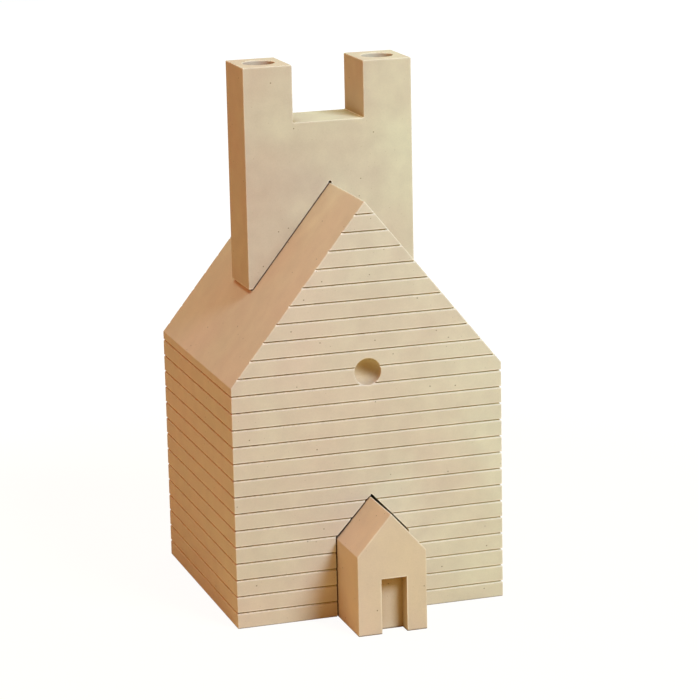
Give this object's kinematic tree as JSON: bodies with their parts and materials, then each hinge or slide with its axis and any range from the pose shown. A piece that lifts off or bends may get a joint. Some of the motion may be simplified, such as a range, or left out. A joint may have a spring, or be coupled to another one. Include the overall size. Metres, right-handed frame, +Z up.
{
  "type": "tealight house",
  "caption": "Hollow cast house for a tealight, with scored board walls, a lift-off chimney block over the ridge and a pull-out porch in the doorway.",
  "frame": {"origin": "middle of the house's four walls, on the surface that it stands on", "axes": "+Z up, the porch and the front gable face -Y, the ridge runs along Y, +X to the right as seen from the front"},
  "size_m": [0.165, 0.192, 0.3184],
  "materials": {
    "cast_stone": "matt, sand coloured, as cast",
    "felt": "pressed wool felt",
    "cup_metal": "pressed foil, bright",
    "wax": "paraffin wax, satin",
    "tab_metal": "tinplate",
    "wick_cotton": "plaited cotton"
  },
  "bodies": {
    "house": {"house_shell": "cast_stone", "floor_plate": "cast_stone", "base_felt": "felt"},
    "chimney": {"chimney_block": "cast_stone"},
    "porch": {"porch": "cast_stone"},
    "tealight": {"tealight_cup": "cup_metal", "tealight_wax": "wax", "wick_tab": "tab_metal", "tealight_wick": "wick_cotton"}
  },
  "joints": [
    {"name": "chimney_lift", "type": "slide", "parent": "house", "child": "chimney", "axis": [0, 0, 1], "range_m": [0, 0.08]},
    {"name": "porch_pull", "type": "slide", "parent": "house", "child": "porch", "axis": [0, -1, 0], "range_m": [0, 0.06]},
    {"name": "tealight_lift", "type": "slide", "parent": "house", "child": "tealight", "axis": [0, 0, 1], "range_m": [0, 0.02]}
  ]
}
